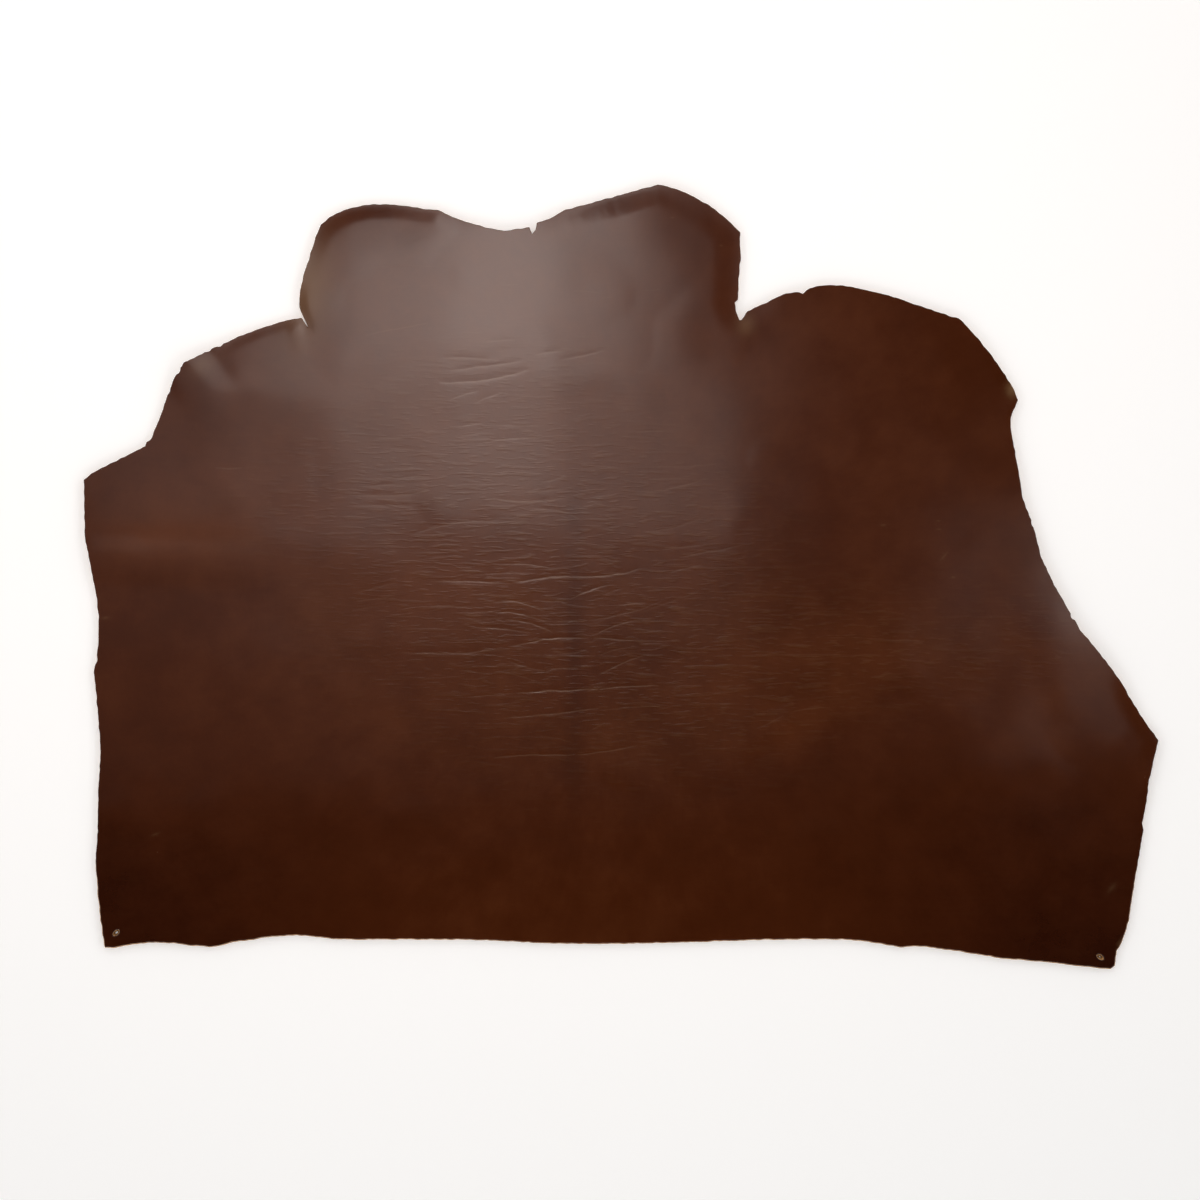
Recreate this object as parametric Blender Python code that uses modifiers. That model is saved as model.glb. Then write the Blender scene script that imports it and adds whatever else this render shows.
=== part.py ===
"""A double shoulder of vegetable-tanned leather, laid grain side up on a flat surface.

The hide is one piece, 3 mm thick. Its neck points to +Y, the straight butt cut is at -Y, and it has a hole
at each end of that cut, pulled oval by the hooks that it dried on. It lies flat but for the low swells that
the stiff leather keeps. The origin is on the surface, under the middle of the outline.
"""

import math
from collections import namedtuple

import bpy
from mathutils import Vector
from mathutils.geometry import delaunay_2d_cdt, intersect_point_line

MM = 0.001

THICKNESS = 3.0 * MM
EDGE_STEP = 18.0 * MM
CELL = 32.0 * MM
CELL_ROW = CELL * math.sqrt(3) / 2
EDGE_CLEARANCE = 0.4 * CELL

HOLE_LENGTH = 11.5 * MM
HOLE_WIDTH = 6.6 * MM
HOLE_SIDES = 16
HOLE_CLEARANCE = 14.0 * MM

SWELL_BLEND = 4
LEATHER_COLOUR = (0.076, 0.022, 0.009, 1.0)
LEATHER_ROUGHNESS = 0.42

# A stretch of the cut edge starts at x, y and bows outwards by bow on its way to the next one, in millimetres.
# A negative bow is a hollow. The stretches run anticlockwise, seen from the grain side.
Stretch = namedtuple("Stretch", "x y bow")

BUTT_CUT = [
    Stretch(-723, -513, 0),
    Stretch(-722, -519, 0),
    Stretch(-708, -519, -5.4),
    Stretch(-603, -516, 0),
    Stretch(-566, -517, -1),
    Stretch(-519, -508, -1),
    Stretch(-463, -502, 0),
    Stretch(-379, -508, -1),
    Stretch(-183, -509, 0),
    Stretch(-127, -512, 0),
    Stretch(111, -511, 0),
    Stretch(167, -509, -1),
    Stretch(321, -508, -1),
    Stretch(393, -519, -1),
    Stretch(426, -518, -1),
    Stretch(531, -534, -1),
    Stretch(671, -548, 0),
    Stretch(686, -549, 1),
]
RIGHT_FLANK = [
    Stretch(692, -545, 0),
    Stretch(694, -527, 1),
    Stretch(708, -492, 0),
    Stretch(720, -425, 0),
    Stretch(732, -356, 0),
    Stretch(731, -344, 1),
    Stretch(739, -289, 0),
    Stretch(748, -249, 1),
    Stretch(753, -229, -1.6),
    Stretch(701, -149, 1.5),
    Stretch(643, -75, 0),
    Stretch(627, -47, -1.4),
    Stretch(589, 26, 0),
    Stretch(575, 79, -3),
    Stretch(559, 135, 0),
    Stretch(546, 208, 0),
    Stretch(546, 221, -0.5),
    Stretch(552, 237, 0),
]
RIGHT_LOBE = [
    Stretch(557, 247, 1.4),
    Stretch(539, 281, 2.7),
    Stretch(475, 360, 0),
    Stretch(393, 388, 1),
    Stretch(321, 406, 3),
    Stretch(265, 404, 0),
    Stretch(255, 396, 0),
    Stretch(248, 398, 2.5),
    Stretch(209, 386, 0),
    Stretch(178, 372, 0),
]
RIGHT_NOTCH = [
    Stretch(169, 359, 0),
    Stretch(166, 359, 0),
    Stretch(161, 374, 0),
    Stretch(160, 383, 0),
    Stretch(164, 388, 0),
]
NECK = [
    Stretch(166, 426, 0),
    Stretch(168, 446, -1),
    Stretch(167, 482, 3.1),
    Stretch(111, 527, 3.1),
    Stretch(52, 549, 0),
    Stretch(-81, 512, 0),
    Stretch(-95, 503, 0),
    Stretch(-118, 495, 0),
    Stretch(-119, 485, 0),
    Stretch(-124, 479, 0),
    Stretch(-128, 489, 0),
    Stretch(-162, 484, -2.7),
    Stretch(-239, 505, 0),
    Stretch(-253, 512, 0),
    Stretch(-309, 520, 1.8),
    Stretch(-365, 519, 4.5),
    Stretch(-420, 493, 0.5),
    Stretch(-438, 440, 2.2),
    Stretch(-450, 387, 0),
    Stretch(-450, 377, 0),
]
LEFT_NOTCH = [
    Stretch(-445, 365, 0),
    Stretch(-438, 349, 0),
]
LEFT_LOBE = [
    Stretch(-447, 362, 1.6),
    Stretch(-491, 352, 1.3),
    Stretch(-556, 326, 0),
    Stretch(-580, 315, 0),
    Stretch(-608, 300, 0),
    Stretch(-620, 285, 1.3),
    Stretch(-637, 247, -1),
    Stretch(-659, 191, -1),
    Stretch(-671, 180, 0),
    Stretch(-738, 146, 0),
]
LEFT_FLANK = [
    Stretch(-752, 135, 0),
    Stretch(-750, 54, -0.7),
    Stretch(-734, -33, 0),
    Stretch(-731, -68, -0.7),
    Stretch(-734, -113, 0),
    Stretch(-738, -135, -0.6),
    Stretch(-734, -173, 0),
    Stretch(-729, -239, 0),
    Stretch(-732, -313, -0.7),
    Stretch(-735, -393, 0),
    Stretch(-732, -443, 0),
]
CUT_EDGE = BUTT_CUT + RIGHT_FLANK + RIGHT_LOBE + RIGHT_NOTCH + NECK + LEFT_NOTCH + LEFT_LOBE + LEFT_FLANK

# A hook hole's middle in millimetres, and the angle of its long axis, which points at the corner beside it.
Hole = namedtuple("Hole", "x y turn")

HOOK_HOLES = [
    Hole(-707, -499, math.radians(40)),
    Hole(671, -533, math.radians(-35)),
]

# A swell is a low ridge under the leather, from one point to another, reach wide each way, in millimetres.
Swell = namedtuple("Swell", "x1 y1 x2 y2 reach height")

SWELLS = {
    "right flank, upper": Swell(560, 130, 606, -40, 90, 4),
    "right flank, lower": Swell(606, -40, 720, -238, 100, 5),
    "right shoulder": Swell(290, 320, 470, 250, 130, 3),
    "right shoulder's tip": Swell(490, 250, 545, 245, 60, 3),
    "neck": Swell(-300, 410, 50, 420, 230, 3.5),
    "neck, right ear": Swell(40, 490, 110, 400, 100, 4),
    "neck, left ear": Swell(-370, 470, -385, 380, 90, 4),
    "left shoulder": Swell(-590, 290, -430, 245, 100, 3),
    "left shoulder's outer roll": Swell(-605, 300, -560, 270, 50, 3.5),
    "left flank": Swell(-740, 100, -560, 110, 110, 2.5),
    "left flank crease, outer": Swell(-750, 50, -610, 62, 55, 3),
    "left flank crease, inner": Swell(-610, 62, -330, 10, 55, 2.2),
    "belly, left": Swell(-520, -150, -430, -300, 120, 2),
    "belly, right": Swell(330, -120, 440, -260, 130, 2.5),
}


def remove_startup_objects():
    for obj in list(bpy.data.objects):
        bpy.data.objects.remove(obj)


def bowed_stretch(start, end, bow):
    """Points from start up to end, without end, on a shallow curve that stands bow to the right of the chord."""
    chord = end - start
    outwards = Vector((chord.y, -chord.x)).normalized()
    steps = max(1, round(chord.length / EDGE_STEP))
    shares = [step / steps for step in range(steps)]
    return [start + chord * share + outwards * (4 * bow * share * (1 - share)) for share in shares]


def cut_edge_points():
    """The outline as a closed loop of points, moved so that its middle is at the origin."""
    corners = [Vector((stretch.x, stretch.y)) * MM for stretch in CUT_EDGE]
    loop = []
    for index, stretch in enumerate(CUT_EDGE):
        loop += bowed_stretch(corners[index], corners[(index + 1) % len(corners)], stretch.bow * MM)
    low = Vector((min(p.x for p in loop), min(p.y for p in loop)))
    high = Vector((max(p.x for p in loop), max(p.y for p in loop)))
    middle = (low + high) / 2
    return [point - middle for point in loop]


def hole_points(hole):
    """The rim of a hook hole, as a closed loop of points on an ellipse."""
    middle = Vector((hole.x, hole.y)) * MM
    loop = []
    for side in range(HOLE_SIDES):
        angle = math.tau * side / HOLE_SIDES
        along = math.cos(angle) * HOLE_LENGTH / 2
        across = math.sin(angle) * HOLE_WIDTH / 2
        turned = Vector((
            along * math.cos(hole.turn) - across * math.sin(hole.turn),
            along * math.sin(hole.turn) + across * math.cos(hole.turn),
        ))
        loop.append(middle + turned)
    return loop


def distance_to_segment(point, start, end):
    nearest, share = intersect_point_line(point, start, end)
    if share < 0:
        nearest = start.to_3d()
    elif share > 1:
        nearest = end.to_3d()
    return (nearest.to_2d() - point).length


def swell_height(point, swell):
    """A bump that is highest on the swell's line and meets the surface with no crease at its reach."""
    start = Vector((swell.x1, swell.y1)) * MM
    end = Vector((swell.x2, swell.y2)) * MM
    share = distance_to_segment(point, start, end) / (swell.reach * MM)
    return swell.height * MM * max(0.0, 1 - share * share) ** 2


def lift(point):
    """How far the underside stands above the surface. Swells that meet run into each other and don't add up."""
    powered = sum(swell_height(point, swell) ** SWELL_BLEND for swell in SWELLS.values())
    return powered ** (1 / SWELL_BLEND)


def is_inside(point, loop):
    crossings = 0
    for start, end in zip(loop, loop[1:] + loop[:1]):
        if (start.y > point.y) != (end.y > point.y):
            crossing_x = start.x + (end.x - start.x) * (point.y - start.y) / (end.y - start.y)
            crossings += crossing_x > point.x
    return crossings % 2 == 1


def inner_points(edge):
    """A triangular net of points over the hide, kept off its cut edge and its holes."""
    hole_middles = [Vector((hole.x, hole.y)) * MM for hole in HOOK_HOLES]
    half_width = max(abs(p.x) for p in edge)
    half_length = max(abs(p.y) for p in edge)
    rows = math.ceil(half_length / CELL_ROW)
    columns = math.ceil(half_width / CELL)
    found = []
    for row in range(-rows, rows + 1):
        shift = CELL / 2 if row % 2 else 0.0
        for column in range(-columns, columns + 1):
            point = Vector((column * CELL + shift, row * CELL_ROW))
            if not is_inside(point, edge):
                continue
            if min((point - corner).length for corner in edge) < EDGE_CLEARANCE:
                continue
            if min((point - middle).length for middle in hole_middles) < HOLE_CLEARANCE:
                continue
            found.append(point)
    return found


def is_in_a_hole(triangle, points, holes):
    middle = (points[triangle[0]] + points[triangle[1]] + points[triangle[2]]) / 3
    return any(is_inside(middle, hole) for hole in holes)


def underside_mesh(name):
    """The flesh side as one open surface of triangles, lifted over the swells, with the hook holes left out."""
    edge = cut_edge_points()
    holes = [hole_points(hole) for hole in HOOK_HOLES]
    points = []
    borders = []
    for loop in [edge] + holes:
        first = len(points)
        points += loop
        borders += [(first + i, first + (i + 1) % len(loop)) for i in range(len(loop))]
    points += inner_points(edge)
    inside_the_borders = 1
    flat, _, triangles, *_ = delaunay_2d_cdt(points, borders, [], inside_the_borders, 0.01 * MM)
    triangles = [triangle for triangle in triangles if not is_in_a_hole(triangle, flat, holes)]
    mesh = bpy.data.meshes.new(name)
    mesh.from_pydata([(p.x, p.y, lift(p)) for p in flat], [], triangles)
    mesh.validate()
    return mesh


def leather_material():
    material = bpy.data.materials.new("brown vegetable-tanned leather")
    material.use_nodes = True
    shader = material.node_tree.nodes["Principled BSDF"]
    shader.inputs["Base Color"].default_value = LEATHER_COLOUR
    shader.inputs["Roughness"].default_value = LEATHER_ROUGHNESS
    shader.inputs["Metallic"].default_value = 0.0
    return material


def make_hide(collection):
    """The whole hide. Its thickness is laid on top of the underside, so what touches the surface stays flat."""
    hide = bpy.data.objects.new("hide", underside_mesh("hide"))
    collection.objects.link(hide)
    hide.data.materials.append(leather_material())
    body = hide.modifiers.new("thickness of the leather", "SOLIDIFY")
    body.thickness = THICKNESS
    body.offset = 1.0
    body.use_even_offset = True
    return hide


def main():
    remove_startup_objects()
    collection = bpy.data.collections.new("leather double shoulder")
    bpy.context.scene.collection.children.link(collection)
    make_hide(collection)


main()
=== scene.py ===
# %% [markdown]
# # A double shoulder of vegetable-tanned leather
#
# The object is one stiff brown hide, 1.5 m wide and 3 mm thick, spread out with its grain side up. The neck
# is at +Y and the straight butt cut is at -Y. A plain solid of it already exists, with the true outline and
# the low swells. This lesson dresses that solid: it makes a fine sheet on the same folds, presses the neck
# wrinkles into it, and gives the dyed grain side, the raw cut edge and the napped flesh side a finish each.

# %% Load the solid as the frame
import math
from collections import namedtuple

import bmesh
import bpy
import numpy as np
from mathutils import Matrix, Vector, noise
from mathutils.bvhtree import BVHTree
from mathutils.geometry import delaunay_2d_cdt
from mathutils.kdtree import KDTree


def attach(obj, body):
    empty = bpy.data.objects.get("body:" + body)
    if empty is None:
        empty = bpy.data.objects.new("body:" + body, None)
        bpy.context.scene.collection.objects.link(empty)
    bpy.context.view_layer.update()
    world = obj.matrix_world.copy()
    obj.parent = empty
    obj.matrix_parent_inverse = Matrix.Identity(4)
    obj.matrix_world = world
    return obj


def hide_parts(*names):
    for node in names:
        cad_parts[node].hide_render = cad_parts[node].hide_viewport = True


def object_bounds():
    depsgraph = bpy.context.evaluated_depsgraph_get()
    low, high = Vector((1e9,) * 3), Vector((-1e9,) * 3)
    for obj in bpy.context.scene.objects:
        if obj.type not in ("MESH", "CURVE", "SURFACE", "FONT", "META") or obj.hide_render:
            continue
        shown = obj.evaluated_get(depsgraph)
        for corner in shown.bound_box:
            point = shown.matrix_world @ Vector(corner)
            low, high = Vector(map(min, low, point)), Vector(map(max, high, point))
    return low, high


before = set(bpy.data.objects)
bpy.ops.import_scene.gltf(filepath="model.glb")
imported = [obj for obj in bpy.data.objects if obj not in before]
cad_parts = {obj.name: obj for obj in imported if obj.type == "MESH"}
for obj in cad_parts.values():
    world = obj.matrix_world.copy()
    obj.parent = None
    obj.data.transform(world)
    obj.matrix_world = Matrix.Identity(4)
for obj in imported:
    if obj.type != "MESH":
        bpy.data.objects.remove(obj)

MM = 0.001
CAD_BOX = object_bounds()
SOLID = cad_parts["hide"]
print("solid:", [round(side, 4) for side in CAD_BOX[1] - CAD_BOX[0]], "m")

# %% [markdown]
# ## Camera
#
# The hide was photographed from straight above. A 50 mm lens needs to hang 2.3 m over the grain side to
# take in 1.68 m, so the camera looks down with no turn at all, and its top edge is towards +Y.

# %% Hang the camera over the hide
VIEW_WIDTH = 1.680
VIEW_MIDDLE = Vector((-0.0295, -0.0330))
LENS = 50.0
SENSOR = 36.0
THICKNESS = 3.0 * MM

camera = bpy.data.objects.new("camera", bpy.data.cameras.new("camera"))
camera.data.lens = LENS
camera.data.sensor_width = SENSOR
camera.location = (VIEW_MIDDLE.x, VIEW_MIDDLE.y, THICKNESS + VIEW_WIDTH * LENS / SENSOR)
bpy.context.scene.collection.objects.link(camera)
bpy.context.scene.camera = camera
bpy.context.scene.view_settings.view_transform = "Standard"
print("camera height:", round(camera.location.z, 3), "m")

# %% [markdown]
# ## Lights
#
# Waxed leather is dark, and what makes it readable is the reflection of a large soft window. The bright
# field on the neck is that reflection, so each softbox is placed by the part of the hide that it has to be
# mirrored in: the line from the camera to a point on the hide goes on, after the mirror, to the softbox.

# %% Place a softbox by its reflection
# The rectangle on the hide that mirrors the softbox, in millimetres, and the softbox's brightness.
Softbox = namedtuple("Softbox", "name left right near far brightness")

SOFTBOXES = [Softbox(*row) for row in (
    ("sky in the middle pane", -240, -90, 264, 700, 7.1),
    ("sky in the left pane", -385, -240, 268, 480, 4.7),
    ("left pane's top", -385, -240, 480, 600, 2.5),
    ("sky in the right pane", -90, 15, 264, 480, 3.8),
    ("right pane's top", -90, 15, 480, 600, 3.9),
    ("edge of the right pane", 15, 72, 264, 600, 1.7),
    ("haze under the left pane", -385, -240, 90, 268, 3.0),
    ("haze under the middle pane", -240, -90, 75, 264, 3.6),
    ("haze under the right pane", -90, 166, 50, 264, 1.75),
    ("curtain on the right", 72, 178, 264, 600, 0.42),
    ("curtain on the left", -520, -385, 245, 480, 3.0),
    ("foot of the left curtain", -520, -385, 75, 245, 1.2),
    ("wall beside the left curtain", -750, -520, 75, 280, 0.95),
    ("wall under the window", -520, 178, -100, 75, 0.42),
    ("corner on the left", -1100, -520, -100, 75, 0.30),
    ("lower wall", -1100, 178, -300, -100, 0.19),
    ("wall on the right", 178, 440, -300, 600, 0.07),
    ("door on the right", 590, 740, -95, 75, 3.5),
    ("wall beside the door", 440, 590, -100, 100, 0.50),
    ("wall under the door", 560, 700, -250, -95, 0.7),
    ("sky that only the wrinkles mirror", -330, 150, 800, 1150, 1.2),
)]
BOX_HEIGHT = 2.0
BOX_COLOUR = (1.0, 0.86, 0.80)


def mirrored(along, camera_along):
    """Where the camera's line to a point on the hide ends at the softbox's height, after the mirror."""
    return camera_along + (along - camera_along) * (camera.location.z + BOX_HEIGHT) / camera.location.z


for box in SOFTBOXES:
    left, right = (mirrored(x * MM, VIEW_MIDDLE.x) for x in (box.left, box.right))
    near, far = (mirrored(y * MM, VIEW_MIDDLE.y) for y in (box.near, box.far))
    light = bpy.data.lights.new(box.name, "AREA")
    light.shape = "RECTANGLE"
    light.size = right - left
    light.size_y = far - near
    light.energy = box.brightness * math.pi * light.size * light.size_y
    light.color = BOX_COLOUR
    lamp = bpy.data.objects.new(box.name, light)
    lamp.location = ((left + right) / 2, (near + far) / 2, BOX_HEIGHT)
    lamp.visible_camera = False
    bpy.context.scene.collection.objects.link(lamp)
    print(box.name, round(light.size, 2), "by", round(light.size_y, 2), "m,", round(light.energy, 2), "W")

# %% [markdown]
# ## Node trees
#
# The room, the wrinkles, the finishes and the fibres are all worked out by nodes. A few short helpers add a
# node and feed its inputs in one go, so that each tree below reads like the sum that it stands for.

# %% Helpers that build node trees
NODE_SPACING = 200


def feed(tree, node, sockets):
    """Gives the node's inputs their values. A value that is another node's output is linked."""
    for name, value in sockets.items():
        if isinstance(value, bpy.types.NodeSocket):
            tree.links.new(value, node.inputs[name])
        else:
            node.inputs[name].default_value = value
    return node


def add(tree, kind, sockets=None, **properties):
    """A new node, to the right of the ones before it."""
    made = tree.nodes.new(kind)
    made.location = (NODE_SPACING * len(tree.nodes), 0)
    for name, value in properties.items():
        setattr(made, name, value)
    return feed(tree, made, sockets or {})


def maths(tree, operation, *values):
    """The outcome of one sum. Each value is a socket or a number."""
    return add(tree, "ShaderNodeMath", dict(enumerate(values)), operation=operation).outputs[0]


def times(tree, first, second):
    return maths(tree, "MULTIPLY", first, second)


def plus(tree, first, second):
    return maths(tree, "ADD", first, second)


def new_material(name, constants):
    """A material with a Principled shader, its constants set on the shader's own sockets."""
    material = bpy.data.materials.new(name)
    material.use_nodes = True
    shader = material.node_tree.nodes["Principled BSDF"]
    feed(material.node_tree, shader, constants)
    return material, material.node_tree, shader


# %% [markdown]
# ## Room
#
# The rest of the studio is a pale floor and a ring of soft light low all round. There is none straight
# above, because it would lay a grey veil of reflection over the dark leather. The floor is white paper over
# a light table, so it glows a little.

# %% Light the room from low all round, and lay the floor
RING_BRIGHTNESS = 4.7
RING_STARTS = 0.50
RING_FULL = 0.28
FLOOR_SIZE = 30.0
FLOOR_GAP = 0.3 * MM
FLOOR_COLOUR = (0.86, 0.86, 0.85, 1.0)
FLOOR_GLOW = 0.28

room = bpy.data.worlds.new("studio")
bpy.context.scene.world = room
room.use_nodes = True
sky = room.node_tree
sky.nodes.clear()
direction = add(sky, "ShaderNodeTexCoord")
split = add(sky, "ShaderNodeSeparateXYZ", {"Vector": direction.outputs["Generated"]})
ring = add(sky, "ShaderNodeMapRange", {
    "Value": split.outputs["Z"],
    "From Min": RING_STARTS,
    "From Max": RING_FULL,
    "To Min": 0.0,
    "To Max": RING_BRIGHTNESS,
}, interpolation_type="SMOOTHSTEP")
background = add(sky, "ShaderNodeBackground", {"Strength": ring.outputs["Result"]})
add(sky, "ShaderNodeOutputWorld", {"Surface": background.outputs["Background"]})

floor_material = new_material("pale matt floor", {
    "Base Color": FLOOR_COLOUR,
    "Roughness": 0.95,
    "Specular IOR Level": 0.1,
    "Emission Color": (1.0, 1.0, 1.0, 1.0),
    "Emission Strength": FLOOR_GLOW,
})[0]
bpy.ops.mesh.primitive_plane_add(size=FLOOR_SIZE, location=(0, 0, -FLOOR_GAP))
floor = bpy.context.object
floor.name = "floor"
floor.data.materials.append(floor_material)
print("floor:", FLOOR_SIZE, "m")

# %% [markdown]
# ## Outline
#
# The knife line is the solid's own. Its underside is cut free of the rest, and each open rim of that
# underside is a closed loop: the hide's outline and the two hook holes. A smooth line is drawn through each
# loop's points, and it keeps the corners where the leather was notched, torn or cut square.

# %% Take the outline and the holes from the solid
SAME_POINT = 0.05 * MM
# A face belongs to the underside if its normal points down at least this far.
LOOKS_DOWN = -0.5


def underside_of(solid):
    """The faces of the solid that look down, as one joined surface."""
    shape = bmesh.new()
    shape.from_mesh(solid.data)
    bmesh.ops.remove_doubles(shape, verts=shape.verts, dist=SAME_POINT)
    shape.normal_update()
    others = [face for face in shape.faces if face.normal.z > LOOKS_DOWN]
    bmesh.ops.delete(shape, geom=others, context="FACES")
    return shape


def rims_of(shape):
    """The surface's open rims as closed loops of flat points, the longest loop first."""
    following = {}
    for edge in shape.edges:
        if edge.is_boundary:
            corner = edge.link_loops[0]
            following[corner.vert] = corner.link_loop_next.vert
    loops = []
    while following:
        here = next(iter(following))
        loop = []
        while here in following:
            loop.append(here.co.xy.copy())
            here = following.pop(here)
        loops.append(loop)
    return sorted(loops, key=len, reverse=True)


underside = underside_of(SOLID)
coarse_rims = rims_of(underside)
print("rims of the solid:", [len(rim) for rim in coarse_rims], "points")

# %% Draw a smooth line through the points of each rim
EDGE_STEP = 2.6 * MM
HOLE_STEP = 1.2 * MM
CORNER = math.radians(28)


def signed_area(loop):
    """The area within the loop, below 0 if the loop runs clockwise."""
    return sum(a.x * b.y - b.x * a.y for a, b in zip(loop, loop[1:] + loop[:1])) / 2


def smooth_line(loop, step):
    """A closed line in short steps through the loop's points, round everywhere but at its sharp corners."""
    count = len(loop)
    chords = [loop[(i + 1) % count] - loop[i] for i in range(count)]
    headings = []
    for i in range(count):
        before, after = chords[i - 1], chords[i]
        sharp = before.angle(after, 0.0) > CORNER
        shared = before / before.length * after.length + after / after.length * before.length
        headings.append(None if sharp else shared.normalized())
    line = []
    for i, chord in enumerate(chords):
        reach = chord.length
        start = headings[i] or chord / reach
        end = headings[(i + 1) % count] or chord / reach
        steps = max(1, round(reach / step))
        for t in (k / steps for k in range(steps)):
            line.append(
                loop[i] * (2 * t**3 - 3 * t**2 + 1)
                + loop[(i + 1) % count] * (3 * t**2 - 2 * t**3)
                + start * reach * (t**3 - 2 * t**2 + t)
                + end * reach * (t**3 - t**2)
            )
    return line


rims = [smooth_line(rim, EDGE_STEP if i == 0 else HOLE_STEP) for i, rim in enumerate(coarse_rims)]
# The outline runs anticlockwise and the holes clockwise, so the leather is always on the left.
for i, rim in enumerate(rims):
    runs_left = signed_area(rim) > 0
    if runs_left != (i == 0):
        rim.reverse()
print("smooth rims:", [len(rim) for rim in rims], "points")

# %% Cut the edge as a knife in the hand does
# A nick is a small step in the cut edge, at a point, that wide and that deep, in millimetres. A depth below
# 0 is a small tongue of leather that the knife left standing.
Nick = namedtuple("Nick", "x y width depth")
NICKS = [Nick(*row) for row in (
    (-617, 285, 5, 2.4),
    (-608, 297, 4, -1.6),
    (-578, 314, 5, 2.0),
    (-560, 324, 4, 1.5),
    (-632, 260, 4, 1.8),
    (-662, 187, 4, -2.0),
    (-667, 182, 3, 1.4),
    (633, -55, 5, 2.2),
    (582, 76, 5, 1.8),
    (696, -524, 4, 1.0),
    (-722, -120, 6, 1.8),
)]
WOBBLE = 1.1 * MM
WOBBLE_LENGTH = 0.009
WOBBLE_SEED = 4.0


def wave(x, y, length, seed):
    """Smooth noise from -1 to 1 with waves of about that length."""
    return noise.noise(Vector((x / length, y / length, seed)))


def outward_headings(loop):
    """The direction straight out of the leather at each point of a rim."""
    out = []
    for i, point in enumerate(loop):
        along = (loop[(i + 1) % len(loop)] - loop[i - 1]).normalized()
        out.append(Vector((along.y, -along.x)))
    return out


def moved_out(loop, distances):
    return [point + way * far for point, way, far in zip(loop, outward_headings(loop), distances)]


def hand_cut(loop):
    """The loop with the nicks, and with the slight wobble of a knife in the hand."""
    spots = [min(loop, key=lambda point: (point - Vector((nick.x, nick.y)) * MM).length) for nick in NICKS]
    distances = []
    for point in loop:
        depth = WOBBLE * wave(point.x, point.y, WOBBLE_LENGTH, WOBBLE_SEED)
        for nick, spot in zip(NICKS, spots):
            away = (point - spot).length / (nick.width * MM)
            depth += nick.depth * MM * max(0.0, 1 - away * away)
        distances.append(-depth)
    return moved_out(loop, distances)


rims[0] = hand_cut(rims[0])
print("hide area:", round(signed_area(rims[0]), 4), "square metres with the holes")

# %% [markdown]
# ## Height of the folds
#
# The sheet lies on the solid's folds. The solid's underside is made of large triangles, so its height is
# read on a grid and softened until the facets are gone. Numpy arrays do this for all the points at once.

# %% Read the solid's folds as a soft height map
GRID = 8.0 * MM
SOFTENING = 24.0 * MM
FOLD_SHARE = 0.5
UNDER_THE_TABLE = -1.0
UP = Vector((0, 0, 1))
# The smallest cover that heights are divided by, so that nothing is divided by 0 outside the hide.
LEAST_COVER = 1e-6


def softened(values, spread):
    """values blurred along both sides of the grid with a bell curve of that spread, in cells."""
    reach = math.ceil(3 * spread)
    weights = [math.exp(-0.5 * (k / spread) ** 2) for k in range(-reach, reach + 1)]
    for axis in (0, 1):
        padded = np.pad(values, [(reach, reach) if a == axis else (0, 0) for a in (0, 1)])
        size = values.shape[axis]
        values = sum(w * np.take(padded, range(k, k + size), axis) for k, w in enumerate(weights))
    return values


def fold_map(surface):
    """(heights, origin): the surface's height at each point of the grid, softened within the outline."""
    tree = BVHTree.FromBMesh(surface)
    low = CAD_BOX[0].xy - Vector((2 * GRID, 2 * GRID))
    size = (CAD_BOX[1].xy - low) / GRID
    heights = np.zeros((math.ceil(size.x) + 3, math.ceil(size.y) + 3))
    covered = np.zeros_like(heights)
    for column, row in np.ndindex(*heights.shape):
        start = Vector((low.x + column * GRID, low.y + row * GRID, UNDER_THE_TABLE))
        hit = tree.ray_cast(start, UP)[0]
        if hit:
            heights[column, row] = hit.z
            covered[column, row] = 1.0
    spread = SOFTENING / GRID
    return softened(heights, spread) / np.maximum(softened(covered, spread), LEAST_COVER), low


folds, folds_low = fold_map(underside)


def fold_height(x, y):
    """The height map read between its grid points."""
    u, v = (x - folds_low.x) / GRID, (y - folds_low.y) / GRID
    i = np.clip(u.astype(int), 0, folds.shape[0] - 2)
    j = np.clip(v.astype(int), 0, folds.shape[1] - 2)
    u, v = u - i, v - j
    near = folds[i, j] * (1 - u) + folds[i + 1, j] * u
    far = folds[i, j + 1] * (1 - u) + folds[i + 1, j + 1] * u
    return near * (1 - v) + far * v


print("folds:", folds.shape, "grid points, highest", round(folds.max() / MM, 1), "mm")

# %% [markdown]
# ## Rolls and drooping edges
#
# On the folds of the solid sit smaller ones that only show as soft bands of light: rolls no more than a few
# millimetres high. Where the neck and the shoulders stand off the table, their last centimetres droop back
# down to it, which gives the hide its dark rims. Each row of the tables is one of them.

# %% List the rolls and the drooping stretches, in millimetres
# A roll is a low ridge that dies away from one point to another, or a trough if its height is negative.
Roll = namedtuple("Roll", "x1 y1 x2 y2 reach height")
# A droop is a round area in which the cut edge comes down to the table over that width.
Droop = namedtuple("Droop", "x y reach width")

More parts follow.
